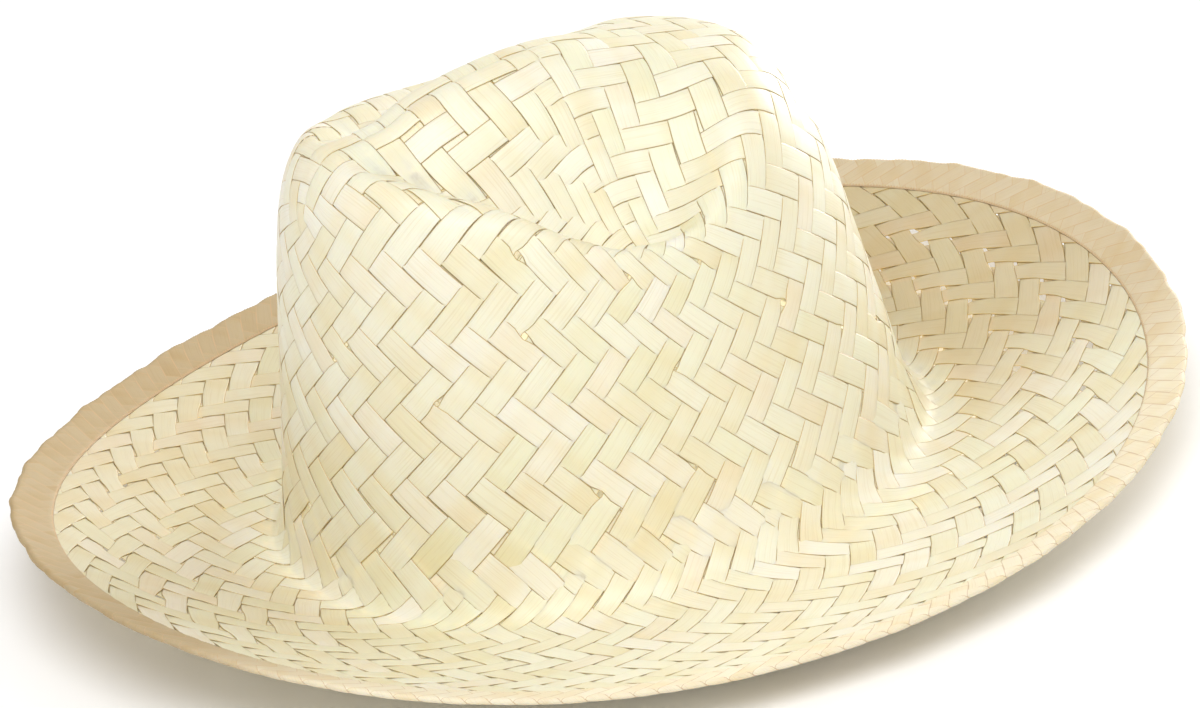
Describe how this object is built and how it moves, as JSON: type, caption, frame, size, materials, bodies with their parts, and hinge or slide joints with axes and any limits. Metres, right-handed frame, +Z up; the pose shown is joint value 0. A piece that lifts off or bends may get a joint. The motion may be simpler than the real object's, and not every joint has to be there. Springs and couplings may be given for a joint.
{
  "type": "straw cowboy hat",
  "caption": "Woven straw cowboy hat with a pinched front, a centre crest between two side dents, a wide brim that rises at both ends and a folded hem.",
  "frame": {"origin": "middle of the brim's outline, on the surface that the hat rests on", "axes": "+Z up through the crown, -X towards the pinched front, +Y towards the wearer's right side"},
  "size_m": [0.3718, 0.357, 0.146],
  "materials": {
    "straw_weave": "soft sheen",
    "straw_hem": "matte"
  },
  "bodies": {
    "root": {"woven_body": "straw_weave", "brim_hem": "straw_hem"}
  },
  "joints": []
}
